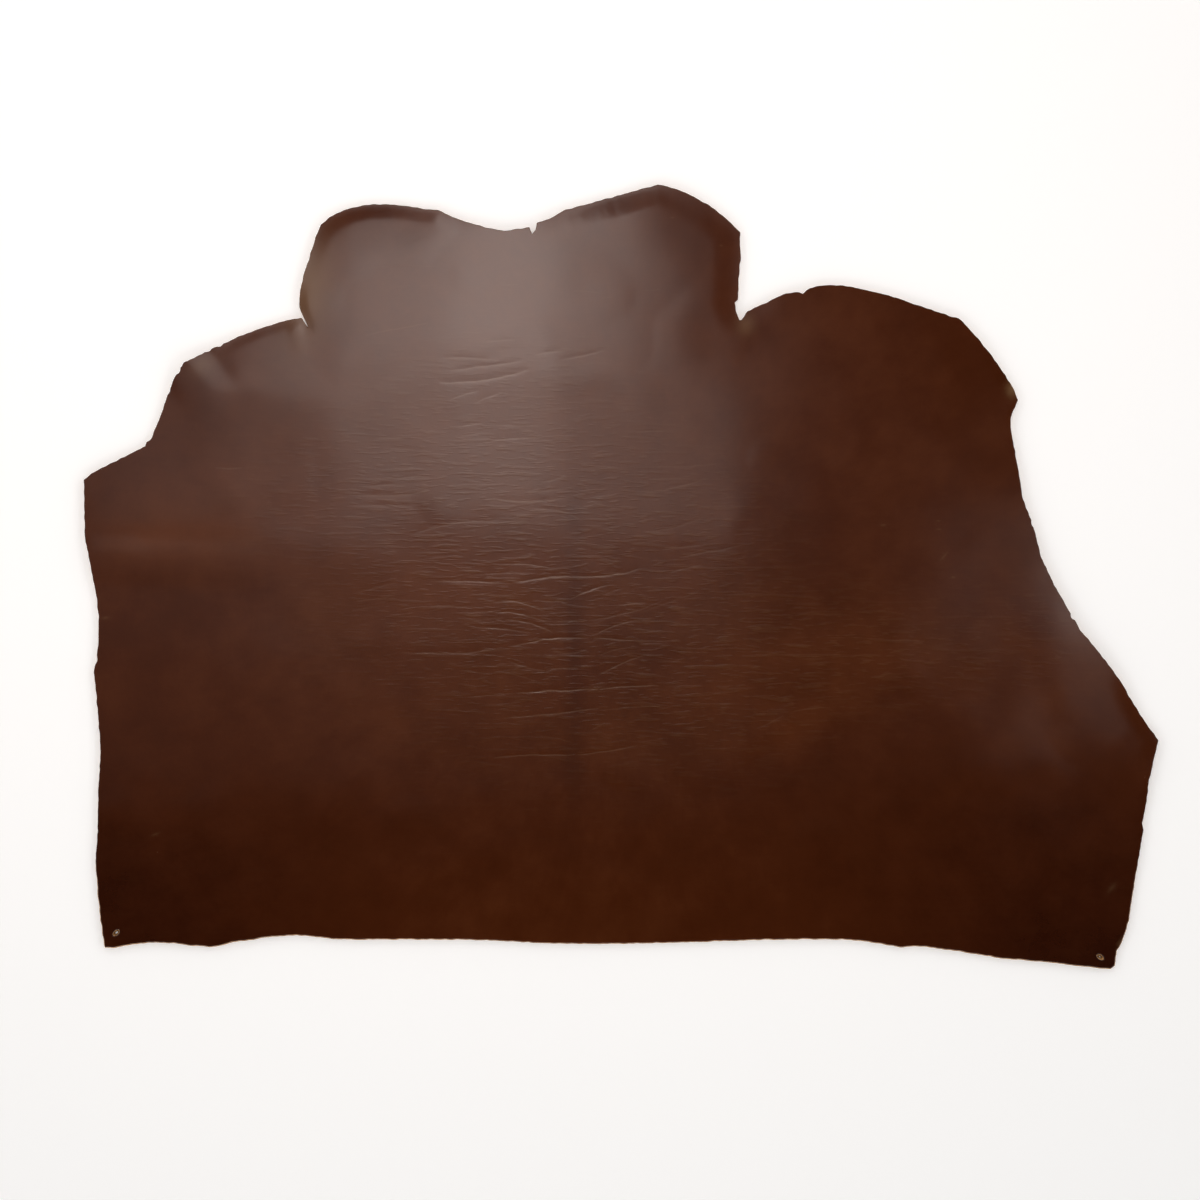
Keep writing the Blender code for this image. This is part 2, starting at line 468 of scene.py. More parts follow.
ROLLS = [Roll(*row) for row in (
    (-636, 322, -560, 228, 46, 2.5),
    (-457, 352, -447, 300, 14, 0.25),
    (-640, 200, -580, 185, 45, -0.4),
    (-740, 22, -440, 12, 40, 1.0),
    (15, 550, 0, 440, 85, 0.6),
    (-66, 40, -62, -270, 12, -0.3),
    (236, -192, 316, -186, 24, 0.35),
    (230, -205, 160, -250, 26, 0.35),
)]
DROOPS = [Droop(*row) for row in (
    (-330, 520, 160, 24),
    (-10, 530, 130, 34),
    (150, 470, 120, 40),
    (165, 380, 60, 34),
    (-490, 350, 90, 16),
    (730, -205, 80, 20),
    (540, 270, 60, 16),
)]
# The leather is never quite flat. It has long and short ripples: height in millimetres, length and seed.
RIPPLES = [(0.5, 0.15, 3.0), (0.35, 0.06, 8.0)]
print("rolls:", len(ROLLS), "drooping stretches:", len(DROOPS))

# %% Measure how far any point is from the cut edge
# Each step of a rim is cut into this many parts, so that the distance to the edge is read finely enough.
STEP_PARTS = 4
edge_tree = KDTree(sum(STEP_PARTS * len(rim) for rim in rims))
for rim in rims:
    for start, end in zip(rim, rim[1:] + rim[:1]):
        for k in range(STEP_PARTS):
            point = start.lerp(end, k / STEP_PARTS)
            edge_tree.insert((point.x, point.y, 0.0), 0)
edge_tree.balance()


def distance_to_edge(x, y):
    return np.array([edge_tree.find((px, py, 0.0))[2] for px, py in zip(x, y)])


print("points along the rims:", STEP_PARTS * sum(len(rim) for rim in rims))

# %% Add everything up to the height of the sheet
def bump(share):
    """1 at share 0, falling to 0 at share 1, with no crease at either end."""
    return np.maximum(0.0, 1.0 - share * share) ** 2


def distance_to_line(x, y, row):
    """How far each point is from the row's line, in metres, and the share of the line that lies behind it."""
    ax, ay, bx, by = (value * MM for value in row[:4])
    dx, dy = bx - ax, by - ay
    share = np.clip(((x - ax) * dx + (y - ay) * dy) / (dx * dx + dy * dy), 0, 1)
    return np.hypot(x - ax - share * dx, y - ay - share * dy), share


def waves(x, y, length, seed):
    return np.array([wave(px, py, length, seed) for px, py in zip(x, y)])


def sheet_height(x, y):
    """How high the flesh side is over the table at each point."""
    height = FOLD_SHARE * fold_height(x, y)
    for roll in ROLLS:
        away, share = distance_to_line(x, y, roll)
        height = height + roll.height * MM * bump(away / (roll.reach * MM)) * (1 - share * share)
    away = distance_to_edge(x, y)
    held_down = np.ones_like(x)
    for droop in DROOPS:
        share = np.hypot(x - droop.x * MM, y - droop.y * MM) / (droop.reach * MM)
        raised = np.clip(away / (droop.width * MM), 0, 1)
        raised = raised * raised * (3 - 2 * raised)
        held_down *= 1 - bump(share) * (1 - raised)
    ripple = sum(size * waves(x, y, length, seed) for size, length, seed in RIPPLES)
    return np.maximum(0.0, height * held_down) + np.maximum(0.0, ripple) * MM


middle_of_neck = sheet_height(np.array([-0.1]), np.array([0.4]))[0]
print("height of the flesh side at the neck:", round(float(middle_of_neck) / MM, 1), "mm")

# %% [markdown]
# ## Wrinkles
#
# Neck skin creases across the spine each time that the animal lifts its head. The tanned creases are
# shallow grooves. They were read off the hide one by one, so the tables hold a row for each: where it
# starts and ends, how far its middle bows towards the neck, how wide it is and how deep.

# %% List the creases, in millimetres
Crease = namedtuple("Crease", "x1 y1 x2 y2 bow width depth")

SPINE_FAN = [
    (-268, -6, -153, -9, 0.7, 4.5, 0.55),
    (-153, -9, -70, 1, 1.4, 4.5, 0.85),
    (-70, 1, 26, 10, -4.2, 4.2, 0.80),
    (-165, 16, -97, 10, 4.2, 4.2, 0.45),
    (-214, 1, -128, 5, 1.4, 4.2, 0.25),
    (-200, -27, -149, -29, 1.4, 4.2, 0.35),
    (-184, -36, -104, -50, 6.3, 3.9, 0.60),
    (-206, -50, -95, -67, 7.0, 3.9, 0.55),
    (-209, -64, -163, -58, 1.4, 3.9, 0.30),
    (-163, -61, -95, -78, 4.2, 3.9, 0.65),
    (-212, -72, -125, -79, 2.1, 3.9, 0.55),
    (-156, -99, -44, -86, 4.9, 4.2, 0.85),
    (-44, -86, 18, -90, 0.7, 3.9, 0.70),
    (18, -90, 85, -90, 0.0, 3.9, 0.30),
    (-310, -106, -150, -100, -3.5, 4.2, 0.50),
    (-41, -83, 28, -60, 2.8, 3.9, 0.60),
    (-46, -61, 60, -33, -4.2, 4.2, 0.50),
    (-72, -33, -17, -11, 2.1, 3.9, 0.60),
    (-105, -64, -42, -62, 1.4, 5.6, 0.45),
    (-112, -34, -77, -34, 0.0, 7.0, 0.55),
    (-32, -138, 35, -109, 1.7, 3.9, 0.55),
    (-212, -170, -147, -163, 0.7, 4.2, 0.40),
    (-150, -163, -30, -157, 0.0, 4.2, 1.00),
    (-32, -157, 54, -153, 1.1, 3.9, 0.80),
    (-165, -198, -28, -184, -1.7, 4.2, 0.70),
    (-24, -187, 57, -181, 1.1, 3.9, 0.35),
    (-179, -253, -63, -250, 2.1, 4.2, 0.65),
    (-66, -250, 24, -236, -1.4, 3.9, 0.60),
    (-158, -118, -101, -132, -2.8, 4.2, 0.40),
    (-107, -130, -59, -127, 0.7, 4.5, 0.50),
    (-95, -104, -49, -102, -4.2, 4.2, 0.40),
    (-226, -131, -181, -137, 0.7, 3.9, 0.25),
    (-163, -135, -121, -145, 1.4, 3.9, 0.25),
    (-368, -22, -312, -9, 0.7, 4.2, 0.35),
    (-373, -34, -324, -29, 0.0, 4.2, 0.30),
    (-377, -46, -336, -41, 0.0, 4.2, 0.25),
    (-268, -41, -203, -43, 0.0, 3.9, 0.35),
    (26, -50, 110, -19, -1.4, 4.2, 0.25),
    (-9, -43, 35, -36, 0.7, 4.8, 0.35),
    (-24, -25, 3, -16, 0.4, 4.2, 0.30),
    (66, 5, 113, 16, 0.0, 4.2, 0.25),
    (-46, -218, -21, -204, 0.4, 4.2, 0.25),
    (-116, -222, -67, -232, 0.7, 4.2, 0.22),
    (-30, -110, 7, -99, 1.1, 4.2, 0.28),
]
THROAT = [
    (-191, 108, -73, 111, -4.2, 5.9, 0.45),
    (-382, 115, -266, 120, -4.2, 6.7, 0.40),
    (-366, 100, -291, 99, 0.0, 4.9, 0.25),
    (-332, 136, -266, 139, 1.4, 4.5, 0.35),
    (-363, 125, -301, 129, 0.7, 4.2, 0.30),
    (-130, 117, -81, 122, 0.7, 4.2, 0.30),
    (-114, 131, -81, 138, 0.7, 4.2, 0.25),
    (-293, 59, -170, 78, 5.6, 4.5, 0.25),
    (-125, 96, -53, 79, 4.2, 4.2, 0.30),
    (40, 155, 143, 159, -2.8, 4.5, 0.25),
    (33, 117, 123, 138, -2.1, 4.5, 0.35),
    (38, 136, 88, 139, 0.0, 4.2, 0.30),
    (43, 64, 115, 83, -2.8, 4.8, 0.22),
    (57, 38, 112, 44, 0.0, 4.2, 0.30),
    (82, 27, 171, 44, 0.0, 4.5, 0.25),
    (-184, 190, -112, 194, 1.7, 5.0, 0.50),
    (-233, 209, -193, 215, 0.7, 4.2, 0.35),
    (-184, 212, -112, 211, 0.0, 3.9, 0.25),
    (-226, 197, -196, 201, 0.0, 3.9, 0.25),
    (19, 202, 63, 205, 0.0, 4.5, 0.30),
    (-324, 180, -287, 178, 0.0, 4.2, 0.30),
    (-340, 195, -305, 195, 0.0, 4.2, 0.22),
]
NAPE = [
    (-256, 272, -129, 290, -6.3, 5.6, 0.75),
    (-240, 288, -137, 302, -0.7, 4.5, 0.50),
    (-252, 306, -168, 303, 1.1, 4.2, 0.35),
    (-242, 246, -199, 260, 1.1, 4.2, 0.40),
    (-205, 243, -165, 258, 1.1, 4.2, 0.35),
    (-191, 328, -147, 331, 0.4, 4.2, 0.30),
    (-121, 310, -77, 316, 0.8, 4.8, 0.40),
    (-86, 302, -21, 317, -0.7, 4.8, 0.45),
    (-359, 338, -268, 355, 0.4, 4.5, 0.40),
    (-352, 432, -252, 433, 2.8, 4.5, 0.16),
    (-331, 402, -291, 407, 0.6, 4.2, 0.12),
    (-283, 407, -258, 408, 0.3, 4.2, 0.10),
    (-326, 454, -263, 481, 2.1, 5.0, 0.08),
    (-67, 400, -25, 397, 0.4, 4.5, 0.30),
    (-27, 390, -11, 391, 0.3, 3.9, 0.30),
    (26, 400, 56, 401, 0.0, 4.2, 0.20),
    (-170, 408, -143, 409, 0.0, 4.2, 0.20),
]
SHOULDERS = [
    (-569, 152, -529, 152, 0.0, 4.5, 0.40),
    (236, -191, 294, -183, 2.1, 5.6, 0.35),
    (194, -212, 228, -195, 0.7, 5.6, 0.30),
    (369, -90, 427, -90, 0.8, 3.9, 0.30),
    (374, -107, 399, -104, 0.3, 3.9, 0.30),
    (252, -53, 322, -54, 1.1, 3.9, 0.25),
    (568, -50, 602, -47, 0.0, 3.9, 0.25),
    (572, -71, 595, -67, 0.0, 3.9, 0.20),
]
CREASES = [Crease(*row) for row in SPINE_FAN + THROAT + NAPE + SHOULDERS]

# %% Follow each crease from end to end
LINE_STEP = 3.0 * MM
# How far a crease strays from its bow: two noises, each with a size in millimetres, a length and a seed.
STRAYING = [(1.2, 0.025, 1.5), (0.7, 0.009, 7.5)]


def fading(share):
    """1 in the middle of a crease, falling to 0 at both ends."""
    return (4 * share * (1 - share)) ** 0.5


def crease_path(crease):
    """The points along the crease, each with the share of its length that lies behind it."""
    start = Vector((crease.x1, crease.y1)) * MM
    end = Vector((crease.x2, crease.y2)) * MM
    along = end - start
    left = Vector((-along.y, along.x)).normalized()
    steps = max(3, round(along.length / LINE_STEP))
    path = []
    for step in range(steps + 1):
        share = step / steps
        point = start + along * share + left * crease.bow * MM * 4 * share * (1 - share)
        strays = sum(wave(point.x, point.y, length, seed) * size * MM for size, length, seed in STRAYING)
        path.append((Vector((point.x, point.y + strays)), share))
    return path


CREASE_PATHS = [crease_path(crease) for crease in CREASES]
print("creases:", len(CREASES), "in", sum(len(path) for path in CREASE_PATHS), "points")

# %% [markdown]
# ## The sheet
#
# One closed mesh holds the grain side, the cut edge and the flesh side. Rows of points follow each wrinkle,
# and nets of points fill the rest, closer where the leather is wrinkled. A Delaunay triangulation joins
# them, because it follows any outline and takes any spacing. The flesh side has no wrinkles, so it needs
# far fewer points.

# %% Lay rows of points beside the creases
# Rows of points at these distances above each crease, in millimetres, and how strong a painted highlight is
# there: it lies on the lower lip, which faces the light.
# Below 0 is towards the butt.
CREASE_ROWS = {-3.2: 0.0, -1.6: 0.0, -0.8: 1.0, 0.0: 0.6, 1.0: 0.0, 2.6: 0.0, 4.8: 0.0}
# Where rows meet, only the first point in each cell of this width is kept.
ROW_GAP = 0.75 * MM
ROW_TO_EDGE = 2.0 * MM


def inside(x, y, loop):
    """True for each point that is inside the loop."""
    found = np.zeros(len(x), bool)
    for a, b in zip(loop, loop[1:] + loop[:1]):
        if a.y != b.y:
            crosses = (a.y > y) != (b.y > y)
            found ^= crosses & (x < a.x + (b.x - a.x) * (y - a.y) / (b.y - a.y))
    return found


def crease_rows():
    """Rows of points beside every crease, each with how strong the painted highlight on the crease's lip is
    there.
    """
    found = {}
    for crease, path in zip(CREASES, CREASE_PATHS):
        for i, (point, share) in enumerate(path):
            along = path[min(i + 1, len(path) - 1)][0] - path[max(i - 1, 0)][0]
            up = Vector((-along.y, along.x)).normalized()
            if up.y < 0:
                up = -up
            for offset, lip_highlight_share in CREASE_ROWS.items():
                place = point + up * offset * MM
                lip_highlight = lip_highlight_share * crease.depth * fading(share)
                cell = (round(place.x / ROW_GAP), round(place.y / ROW_GAP))
                found.setdefault(cell, (place.x, place.y, lip_highlight))
    rows = np.array(list(found.values()))
    rows = rows[inside(rows[:, 0], rows[:, 1], rims[0])]
    return rows[distance_to_edge(rows[:, 0], rows[:, 1]) > ROW_TO_EDGE]


row_points = crease_rows()
row_tree = KDTree(len(row_points))
for number, (row_x, row_y, _) in enumerate(row_points):
    row_tree.insert((row_x, row_y, 0.0), number)
row_tree.balance()
print("points beside the creases:", len(row_points))

# %% Lay points over the scars and just inside the rims
# A scar is a healed scratch: a pale dash in the grain, at a middle point, that long and that wide.
Scar = namedtuple("Scar", "x y length width turn")
SCARS = [Scar(*row) for row in (
    (444, 78, 6, 2, 0),
    (445, 66, 6, 2, 0),
    (367, 72, 8, 3, 5),
    (465, -1, 6, 3, 0),
    (452, 28, 14, 3, 50),
    (-652, -361, 12, 3, 20),
    (-722, -58, 10, 4, 10),
    (687, -436, 16, 6, 50),
    (140, 463, 5, 3, 0),
    (72, 502, 5, 2, 0),
)]
# Rings of points over a scar: their size as a share of the scar's, and their number of points.
SCAR_RINGS = {0.0: 1, 0.45: 6, 0.9: 9, 1.5: 12}
SUPPORT = 1.1 * MM


def scar_points():
    """A few close rings of points over each scar, so that the mesh can hold it."""
    found = []
    for scar in SCARS:
        turn = math.radians(scar.turn)
        for ring, count in SCAR_RINGS.items():
            for k in range(count):
                angle = math.tau * k / count + ring
                along = math.cos(angle) * scar.length / 2 * ring
                across = math.sin(angle) * scar.width / 2 * ring
                found.append((
                    (scar.x + along * math.cos(turn) - across * math.sin(turn)) * MM,
                    (scar.y + along * math.sin(turn) + across * math.cos(turn)) * MM,
                ))
    return np.array(found)


def rim_support():
    """A row of points just inside each rim, so that only the rounded edge turns away from the light."""
    loops = [moved_out(rim, [-SUPPORT] * len(rim)) for rim in rims]
    return np.array([point[:] for loop in loops for point in loop])


print("scars:", len(SCARS), "with", len(scar_points()), "points; rims with", len(rim_support()))

# %% Fill the rest of the sheet with nets
# A net covers a rectangle with points at that spacing, except where an earlier net already lies.
Net = namedtuple("Net", "left right near far spacing")

GRAIN_NETS = [Net(*row) for row in (
    (-392, 182, -272, 312, 4.2),
    (-460, 182, 312, 560, 4.6),
    (-760, 760, -560, 560, 6.6),
)]
FLESH_NETS = [Net(-760, 760, -560, 560, 12.0)]
GRAIN_SEED = 11
FLESH_SEED = 12
# How far a net's points stray, and how far they stay from the edge, as shares of the spacing.
JITTER = 0.12
NET_TO_EDGE = 0.45
ROW_CLEARANCE = 2.0 * MM


def net_points(nets, seed):
    """The inner points of the sheet, each net in rows that are set off by half a space."""
    draw = np.random.default_rng(seed)
    found = []
    for number, net in enumerate(nets):
        space = net.spacing * MM
        xs = np.arange(net.left * MM, net.right * MM, space)
        ys = np.arange(net.near * MM, net.far * MM, space * math.sqrt(3) / 2)
        x, y = np.meshgrid(xs, ys)
        x = x + (np.arange(len(ys)) % 2)[:, None] * space / 2
        x, y = (side.ravel() + draw.uniform(-1, 1, side.size) * JITTER * space for side in (x, y))
        keep = inside(x, y, rims[0])
        for earlier in nets[:number]:
            keep &= ~(
                (x > earlier.left * MM - space / 2)
                & (x < earlier.right * MM + space / 2)
                & (y > earlier.near * MM - space / 2)
                & (y < earlier.far * MM + space / 2)
            )
        x, y = x[keep], y[keep]
        clear = distance_to_edge(x, y) > NET_TO_EDGE * space
        clear &= np.array([row_tree.find((px, py, 0.0))[2] for px, py in zip(x, y)]) > ROW_CLEARANCE
        found.append(np.column_stack((x[clear], y[clear])))
    return np.concatenate(found)


net = net_points(GRAIN_NETS, GRAIN_SEED)
grain_points = np.concatenate((net, row_points[:, :2], scar_points(), rim_support()))
flesh_points = net_points(FLESH_NETS, FLESH_SEED)
print("points:", len(grain_points), "on the grain side,", len(flesh_points), "on the flesh side")

# %% [markdown]
# The knife was held at a slight slant along the butt cut and the right side, so a thin line of the raw edge
# shows there from above. Elsewhere the cut is upright. The two hook holes were pierced from the grain side,
# so they narrow downwards and show their raw walls. The grain side's rim is rounded by half a millimetre.

# %% Make the rows of the cut edge
RIM_ROUNDING = 0.5 * MM
SLANT = 1.3 * MM
# The slanting cut fades in below this line, over this distance.
SLANT_LINE = -0.34
SLANT_FADE = 0.10
# How wide each hole still is at the flesh side, as a share of its width at the grain side.
HOLE_WIDTHS_BELOW = {"left": 0.35, "right": 0.18}


def slant_at(point):
    return SLANT * min(1.0, max(0.0, (SLANT_LINE - point.y) / SLANT_FADE))


grain_rims = [moved_out(rim, [-RIM_ROUNDING] * len(rim)) for rim in rims]
flesh_rims = [moved_out(rims[0], [slant_at(point) for point in rims[0]])]
for rim in rims[1:]:
    middle = sum(rim, Vector((0, 0))) / len(rim)
    share = HOLE_WIDTHS_BELOW["left" if middle.x < 0 else "right"]
    flesh_rims.append([middle.lerp(point, share) for point in rim])
edge_length = sum((a - b).length for a, b in zip(rims[0], rims[0][1:] + rims[0][:1]))
print("cut edge:", round(edge_length, 2), "m long")

# %% Join the points into triangles
INSIDE_THE_BORDERS = 1
FINEST_GAP = 1e-7


def triangulated(loops, points):
    """Triangles between the loops and over the points, with the holes left open."""
    corners = [point for loop in loops for point in loop]
    borders = []
    first = 0
    hole_of = {}
    for number, loop in enumerate(loops):
        count = len(loop)
        borders += [(first + i, first + (i + 1) % count) for i in range(count)]
        hole_of.update((first + i, number) for i in range(count) if number > 0)
        first += count
    corners += [Vector(point) for point in points.tolist()]
    result = delaunay_2d_cdt(corners, borders, [], INSIDE_THE_BORDERS, FINEST_GAP)
    original = [sources[0] for sources in result[3]]
    triangles = [tuple(original[i] for i in triangle) for triangle in result[2]]
    owners = ([hole_of.get(i, -i - 1) for i in triangle] for triangle in triangles)
    return [triangle for triangle, owner in zip(triangles, owners) if len(set(owner)) > 1]


grain_triangles = triangulated(grain_rims, grain_points)
flesh_triangles = triangulated(flesh_rims, flesh_points)
print("triangles:", len(grain_triangles), "on the grain side,", len(flesh_triangles), "on the flesh side")

# %% Assemble the closed sheet
GRAIN, CUT, FLESH = range(3)


def xy_array(loops, points):
    return np.concatenate([np.array([point[:] for loop in loops for point in loop]), points])


def build_sheet(name):
    """The grain side, a middle row round every rim, and the flesh side, joined into one closed mesh."""
    top = xy_array(grain_rims, grain_points)
    middle = np.array([point[:] for loop in rims for point in loop])
    bottom = xy_array(flesh_rims, flesh_points)
    rim_count = len(middle)
    top_z = sheet_height(top[:, 0], top[:, 1]) + THICKNESS
    middle_z = top_z[:rim_count] - 2 * RIM_ROUNDING
    bottom_z = sheet_height(bottom[:, 0], bottom[:, 1])
    vertices = np.concatenate([
        np.column_stack((top, top_z)),
        np.column_stack((middle, middle_z)),
        np.column_stack((bottom, bottom_z)),
    ])
    to_middle = len(top)
    to_bottom = to_middle + rim_count
    faces = list(grain_triangles)
    looks = [GRAIN] * len(faces)
    first = 0
    for loop in rims:
        count = len(loop)
        for i in range(count):
            a, b = first + i, first + (i + 1) % count
            faces.append((a, to_middle + a, to_middle + b, b))
            faces.append((to_middle + a, to_bottom + a, to_bottom + b, to_middle + b))
            looks += [GRAIN, CUT]
        first += count
    faces += [tuple(to_bottom + i for i in reversed(triangle)) for triangle in flesh_triangles]
    looks += [FLESH] * len(flesh_triangles)
    mesh = bpy.data.meshes.new(name)
    mesh.from_pydata(vertices.tolist(), [], faces)
    mesh.polygons.foreach_set("material_index", looks)
    mesh.shade_smooth()
    on_grain = mesh.attributes.new("on_grain", "FLOAT", "POINT")
    on_grain.data.foreach_set("value", [1.0] * len(top) + [0.0] * (len(vertices) - len(top)))
    return mesh


hide = bpy.data.objects.new("hide_leather", build_sheet("hide_leather"))
bpy.context.scene.collection.objects.link(hide)
print("sheet:", len(hide.data.vertices), "points,", len(hide.data.polygons), "faces")

# %% [markdown]
# ## Pressing the wrinkles in
#
# Geometry Nodes press the lines into the sheet: for each point of the grain side they find the nearest
# point of a line, read the width and depth there, and move the sheet down by a bell curve across the
# groove. Skin folds over itself a little, so each groove has a short steep wall below the line and a long
# gentle one above it.

# %% Draw the creases as lines that know their width and depth
# How unevenly deep each crease is along its way.
UNEVENNESS = 0.7
UNEVEN_LENGTH = 0.011
UNEVEN_SEED = 6.0


def crease_lines(name):
    """Every crease as a bowed line of points at height 0. Its depth fades out towards both ends."""
    points, edges, widths, depths = [], [], [], []
    for crease, path in zip(CREASES, CREASE_PATHS):
        for step, (point, share) in enumerate(path):
            points.append((point.x, point.y, 0.0))
            widths.append(crease.width * MM / 2)
            uneven = 1.0 + UNEVENNESS * wave(point.x, point.y, UNEVEN_LENGTH, UNEVEN_SEED)
            depths.append(crease.depth * MM * uneven * fading(share))
            if step:
                edges.append((len(points) - 2, len(points) - 1))
    mesh = bpy.data.meshes.new(name)
    mesh.from_pydata(points, edges, [])
    mesh.attributes.new("width", "FLOAT", "POINT").data.foreach_set("value", widths)
    mesh.attributes.new("depth", "FLOAT", "POINT").data.foreach_set("value", depths)
    return mesh


lines = bpy.data.objects.new("crease_lines", crease_lines("crease_lines"))
bpy.context.scene.collection.objects.link(lines)
print("lines:", len(lines.data.edges), "steps")

# %% Helpers for Geometry Nodes
def tree_with(name, sockets):
    """A new Geometry Nodes tree with a geometry input, the named inputs, and a geometry output."""
    tree = bpy.data.node_groups.new(name, "GeometryNodeTree")
    tree.interface.new_socket("Geometry", in_out="INPUT", socket_type="NodeSocketGeometry")
    for label, kind in sockets.items():
        tree.interface.new_socket(label, in_out="INPUT", socket_type="NodeSocket" + kind)
    tree.interface.new_socket("Geometry", in_out="OUTPUT", socket_type="NodeSocketGeometry")
    return tree, add(tree, "NodeGroupInput").outputs


def hand_out(tree, geometry):
    add(tree, "NodeGroupOutput", {"Geometry": geometry})
    return tree


def apply_tree(obj, tree, values):
    """Runs the tree on the object with those inputs, and keeps the result as the object's own plain mesh."""
    modifier = obj.modifiers.new(tree.name, "NODES")
    modifier.node_group = tree
    for item in tree.interface.items_tree:
        if item.in_out == "INPUT" and item.name in values:
            modifier[item.identifier] = values[item.name]
    evaluated = obj.evaluated_get(bpy.context.evaluated_depsgraph_get())
    made = bpy.data.meshes.new_from_object(evaluated)
    obj.modifiers.remove(modifier)
    obj.data = made


# %% Press the creases into the grain side
CREASE_DEPTH = 0.21
WALL_BELOW = 0.45
WALL_ABOVE = 1.7


def crease_tree():
    tree, given = tree_with("press creases", {
        "Lines": "Object",
        "Depth": "Float",
        "Wall Below": "Float",
        "Wall Above": "Float",
    })
    info = add(tree, "GeometryNodeObjectInfo", {"Object": given["Lines"]}, transform_space="RELATIVE")
    x, y, _ = add(tree, "ShaderNodeSeparateXYZ", {
        "Vector": add(tree, "GeometryNodeInputPosition").outputs["Position"],
    }).outputs
    beside = {
        "Geometry": info.outputs["Geometry"],
        "Sample Position": add(tree, "ShaderNodeCombineXYZ", {"X": x, "Y": y}).outputs["Vector"],
    }
    near = add(tree, "GeometryNodeProximity", beside, target_element="EDGES").outputs
    which = add(tree, "GeometryNodeSampleNearest", beside, domain="POINT").outputs["Index"]

    def stored(label):
        named = add(tree, "GeometryNodeInputNamedAttribute", {"Name": label}, data_type="FLOAT")
        return named.outputs["Attribute"]

    def of_the_line(label):
        """What the nearest point of a line stores under that label."""
        return add(tree, "GeometryNodeSampleIndex", {
            "Geometry": info.outputs["Geometry"],
            "Value": stored(label),
            "Index": which,
        }, data_type="FLOAT", domain="POINT").outputs["Value"]

    line_y = add(tree, "ShaderNodeSeparateXYZ", {"Vector": near["Position"]}).outputs["Y"]
    is_above = maths(tree, "GREATER_THAN", y, line_y)
    extra = maths(tree, "SUBTRACT", given["Wall Above"], given["Wall Below"])
    wall = plus(tree, times(tree, is_above, extra), given["Wall Below"])
    across = maths(tree, "DIVIDE", near["Distance"], times(tree, of_the_line("width"), wall))
    groove = maths(tree, "EXPONENT", times(tree, times(tree, across, across), -1))
    deep = times(tree, of_the_line("depth"), given["Depth"])
    move = times(tree, times(tree, times(tree, groove, -1), deep), stored("on_grain"))
    press = add(tree, "GeometryNodeSetPosition", {
        "Geometry": given["Geometry"],
        "Offset": add(tree, "ShaderNodeCombineXYZ", {"Z": move}).outputs["Vector"],
    })
    return hand_out(tree, press.outputs["Geometry"])


apply_tree(hide, crease_tree(), {
    "Lines": lines,
    "Depth": CREASE_DEPTH,
    "Wall Below": WALL_BELOW,
    "Wall Above": WALL_ABOVE,
})
bpy.data.objects.remove(lines)
heights = [vertex.co.z / MM for vertex in hide.data.vertices]
print("lowest point:", round(min(heights), 2), "mm, highest:", round(max(heights), 2), "mm")

# %% [markdown]
# ## Colour of the grain side
#
# The grain side is darkest at the corners of the butt and paler in the middle. Part of that is the dye's own
# unevenness, and part is painted light: painted sheen where the window is mirrored, painted highlights on
# folds and painted shade in the spine's groove and beside the folds. Such soft patches follow the hide and
# not a pattern, so they are kept as numbers on the mesh's points, which the materials then read: tone and
# painted light for darker or paler, bare and painted light for where tan shows through or a highlight or
# reflection is painted, and wrinkled for where fine wrinkles run. The scars are pale, and each crease's
# lower lip has a painted highlight where it faces the light, so they are bare in part too.

# %% Paint tone, bare leather and fine wrinkling onto the points
# A patch is a soft oval: its middle, half length and half width in millimetres, its turn and its strength.
Patch = namedtuple("Patch", "x y length width turn strength")

# Painted light is in this table with the dye's own patches. The pale patches at (-170, 230) on the neck and
# (615, -160) on the right flank are painted sheen. The pale patches at (-640, 52), (-555, 130) and (270,
# -190) are painted highlights on folds. The dark patches at (-66, -100) in the spine's groove, (-590, 210)
# beside the left fold and (240, 60) beside the neck are painted shade. The dark rows at the corners of the
# butt only make them darker.
TONES_AND_PAINTED_LIGHT = [Patch(*row) for row in (
    (-170, 230, 330, 260, 0, 0.55),
    (240, 60, 90, 120, 0, -0.30),
    (-330, 20, 420, 230, 0, 0.16),
    (615, -160, 75, 120, -20, 0.35),
    (400, -110, 190, 120, 0, 0.20),
    (-560, -520, 180, 36, 0, -0.28),
    (110, -490, 60, 50, 0, -0.15),
    (110, 50, 70, 60, 0, 0.20),
    (320, 160, 110, 220, 0, 0.12),
    (530, 275, 50, 60, 0, -0.20),
    (-100, -120, 330, 140, 0, 0.30),
    (-745, -480, 360, 130, 12, -0.85),
    (-745, -350, 90, 120, 0, -0.25),
    (740, -500, 420, 170, -12, -0.80),
    (690, -560, 220, 60, -6, -0.50),
    (330, -260, 240, 90, 5, -0.10),
    (-60, -290, 500, 110, 0, 0.06),
    (-60, -480, 420, 60, 0, 0.25),
    (-610, -50, 110, 60, 10, -0.25),
    (-360, -200, 90, 70, 0, 0.15),
    (-640, 52, 110, 36, 3, 0.75),
    (-260, 0, 110, 50, 0, 0.25),
    (290, 380, 90, 40, 0, 0.20),
    (-555, 130, 140, 100, 0, 0.35),
    (-590, 210, 70, 60, 30, -0.30),
    (-66, -100, 14, 220, 0, -0.55),
    (20, -110, 60, 60, 0, -0.30),
    (270, -190, 60, 28, 20, 0.45),
    (150, -180, 60, 80, 0, 0.25),
    (330, -110, 160, 36, 0, 0.25),
    (-300, -30, 200, 40, 4, 0.20),
    (-20, -240, 30, 30, 0, 0.30),
    (240, -240, 40, 30, 0, 0.25),
    (600, -330, 60, 30, 20, -0.25),
    (-700, -330, 90, 26, 0, 0.15),
    (450, 170, 220, 130, 0, 0.10),
)]
